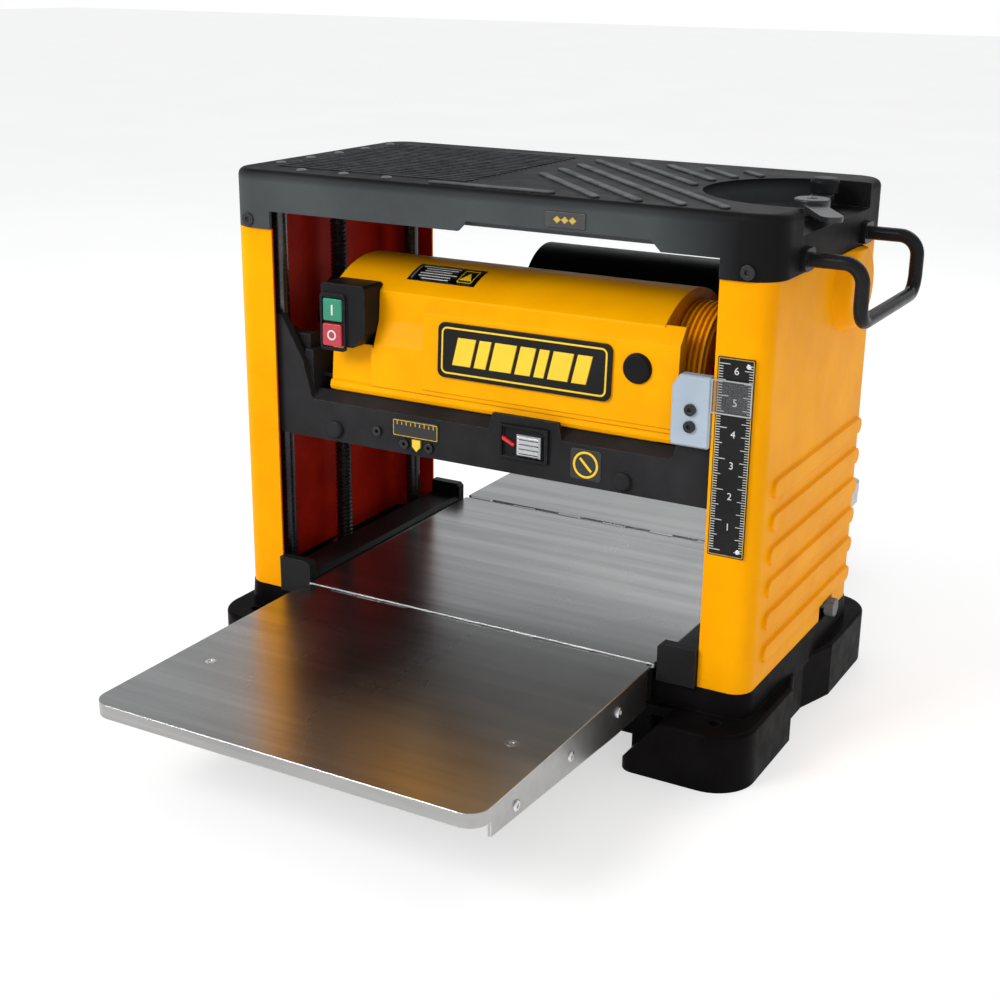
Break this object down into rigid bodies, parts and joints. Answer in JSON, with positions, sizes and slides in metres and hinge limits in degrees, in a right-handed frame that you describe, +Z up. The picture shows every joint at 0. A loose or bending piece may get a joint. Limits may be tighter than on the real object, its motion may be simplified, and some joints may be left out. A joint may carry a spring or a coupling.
{
  "type": "thickness planer",
  "caption": "Benchtop thickness planer with folding tables, powered cutterhead carriage on guide posts, crank height adjustment, depth scale and carry handles.",
  "frame": {"origin": "centre of the base footprint on the floor plane", "axes": "+Z up, -Y towards the infeed side where the operator stands, +X towards the crank side"},
  "size_m": [0.587, 0.82, 0.4423],
  "materials": {
    "yellow_housing": "satin moulded yellow with fine grain",
    "black_casting": "cast aluminium under satin black powder coat",
    "grey_casting": "cast aluminium under satin dark grey coat",
    "polished_steel": "polished sheet steel",
    "table_hinge": "zinc plated steel",
    "black_steel": "black oxide steel",
    "machined_steel": "turned and ground steel",
    "knife_steel": "ground tool steel",
    "grey_top_plate": "satin dark paint on sheet steel",
    "handle_paint": "satin black paint on steel rod",
    "bright_screw": "bright zinc plate",
    "black_plastic": "grained black plastic",
    "label_black": "printed label film",
    "bracket_grey": "light blue-grey satin paint",
    "clear_lens": "clear moulded plastic",
    "crank_black": "black coated casting",
    "knob_grey": "grained grey plastic",
    "bronze_bush": "sintered bronze",
    "roller_rubber": "moulded feed rubber",
    "belt_rubber": "ribbed belt rubber",
    "motor_metal": "cast aluminium motor shell",
    "start_green": "green button plastic",
    "stop_red": "red button plastic",
    "gauge_silver": "brushed bare aluminium",
    "pointer_yellow": "yellow plastic"
  },
  "bodies": {
    "stand": {"base_casting": "black_casting", "bed_plate": "polished_steel", "bed_guides": "black_plastic", "hinge_leaves": "table_hinge", "hinge_pins": "table_hinge", "right_side_panel": "yellow_housing", "left_side_panel": "yellow_housing", "guide_posts": "machined_steel", "top_plate": "grey_top_plate", "post_bolts": "bright_screw", "screw_bearings": "bronze_bush", "top_cover": "black_plastic", "cover_screws": "black_steel", "right_carry_handle": "handle_paint", "left_carry_handle": "handle_paint", "height_scale": "label_black", "lift_chain": "black_steel", "turret_bracket": "machined_steel"},
    "crank": {"right_leadscrew": "machined_steel", "crank_arm": "crank_black"},
    "crank_handle_knob": {"crank_knob": "black_plastic"},
    "left_screw": {"left_leadscrew": "machined_steel"},
    "carriage": {"carriage_casting": "grey_casting", "carriage_bushes": "bronze_bush", "lift_nuts": "bronze_bush", "cutterhead_bearings": "machined_steel", "roller_bushes": "bronze_bush", "drive_belt": "belt_rubber", "feed_chain": "black_steel", "pawl_rod": "machined_steel", "motor_housing": "motor_metal", "motor_cover": "yellow_housing", "motor_vent": "yellow_housing", "nameplate": "label_black", "switch_box": "black_plastic", "gauge_housing": "black_plastic", "pointer_bracket": "bracket_grey", "pointer_lens": "clear_lens", "carriage_screws": "black_steel", "indicator_pointer": "pointer_yellow", "chip_hood": "black_plastic", "belt_cover": "black_plastic"},
    "cutterhead": {"cutterhead": "machined_steel", "cutter_knives": "knife_steel", "cutterhead_pulley": "machined_steel"},
    "motor_rotor": {"motor_rotor": "machined_steel", "motor_pulley": "machined_steel"},
    "infeed_roller": {"infeed_roller": "roller_rubber", "infeed_roller_shaft": "machined_steel"},
    "outfeed_roller": {"outfeed_roller": "roller_rubber", "outfeed_roller_shaft": "machined_steel"},
    "kickback_pawls": {"kickback_pawls": "black_steel"},
    "infeed_table": {"infeed_table": "polished_steel"},
    "outfeed_table": {"outfeed_table": "polished_steel"},
    "turret_stop": {"turret_stop": "knob_grey"},
    "start_button": {"start_button": "start_green"},
    "stop_button": {"stop_button": "stop_red"},
    "reset_button": {"reset_button": "black_plastic"},
    "gauge_plate": {"gauge_plate": "gauge_silver"}
  },
  "joints": [
    {"name": "height_crank", "type": "hinge", "parent": "stand", "child": "crank", "pos_m": [0.222, 0, 0.4], "axis": [0, 0, 1], "range_deg": [-11251, 1981]},
    {"name": "left_screw_turn", "type": "hinge", "parent": "stand", "child": "left_screw", "pos_m": [-0.222, 0, 0.4], "axis": [0, 0, 1], "range_deg": [-11251, 1981]},
    {"name": "carriage_slide", "type": "slide", "parent": "stand", "child": "carriage", "axis": [0, 0, 1], "range_m": [-0.125, 0.022]},
    {"name": "crank_knob_spin", "type": "hinge", "parent": "crank", "child": "crank_handle_knob", "pos_m": [0.21089, 0.06303, 0.43], "axis": [0, 0, 1], "continuous": true},
    {"name": "cutterhead_spin", "type": "hinge", "parent": "carriage", "child": "cutterhead", "pos_m": [0, 0, 0.236], "axis": [1, 0, 0], "continuous": true},
    {"name": "motor_spin", "type": "hinge", "parent": "carriage", "child": "motor_rotor", "pos_m": [0, -0.038, 0.308], "axis": [1, 0, 0], "continuous": true},
    {"name": "infeed_roller_spin", "type": "hinge", "parent": "carriage", "child": "infeed_roller", "pos_m": [0, -0.062, 0.229], "axis": [1, 0, 0], "continuous": true},
    {"name": "outfeed_roller_spin", "type": "hinge", "parent": "carriage", "child": "outfeed_roller", "pos_m": [0, 0.062, 0.229], "axis": [1, 0, 0], "continuous": true},
    {"name": "pawl_swing", "type": "hinge", "parent": "carriage", "child": "kickback_pawls", "pos_m": [0, -0.098, 0.236], "axis": [1, 0, 0], "range_deg": [0, 40]},
    {"name": "infeed_table_fold", "type": "hinge", "parent": "stand", "child": "infeed_table", "pos_m": [0, -0.1395, 0.0803], "axis": [-1, 0, 0], "range_deg": [0, 88]},
    {"name": "outfeed_table_fold", "type": "hinge", "parent": "stand", "child": "outfeed_table", "pos_m": [0, 0.1395, 0.0803], "axis": [1, 0, 0], "range_deg": [0, 88]},
    {"name": "turret_turn", "type": "hinge", "parent": "stand", "child": "turret_stop", "pos_m": [0.238, 0.062, 0.077], "axis": [1, 0, 0], "continuous": true},
    {"name": "start_press", "type": "slide", "parent": "carriage", "child": "start_button", "axis": [0, 1, 0], "range_m": [0, 0.003], "stiffness_N_per_m": 800},
    {"name": "stop_press", "type": "slide", "parent": "carriage", "child": "stop_button", "axis": [0, 1, 0], "range_m": [0, 0.003], "stiffness_N_per_m": 800},
    {"name": "reset_press", "type": "slide", "parent": "carriage", "child": "reset_button", "axis": [0, 1, 0], "range_m": [0, 0.002], "stiffness_N_per_m": 900},
    {"name": "gauge_lift", "type": "slide", "parent": "carriage", "child": "gauge_plate", "axis": [0, 0, 1], "range_m": [0, 0.003]}
  ],
  "couplings": [
    {"joint": "height_crank", "follows": "carriage_slide", "rad_per_m": 1570.8},
    {"joint": "left_screw_turn", "follows": "carriage_slide", "rad_per_m": 1570.8},
    {"joint": "motor_spin", "follows": "cutterhead_spin", "ratio": 1.6},
    {"joint": "infeed_roller_spin", "follows": "cutterhead_spin", "ratio": -0.0067},
    {"joint": "outfeed_roller_spin", "follows": "cutterhead_spin", "ratio": -0.0067}
  ]
}
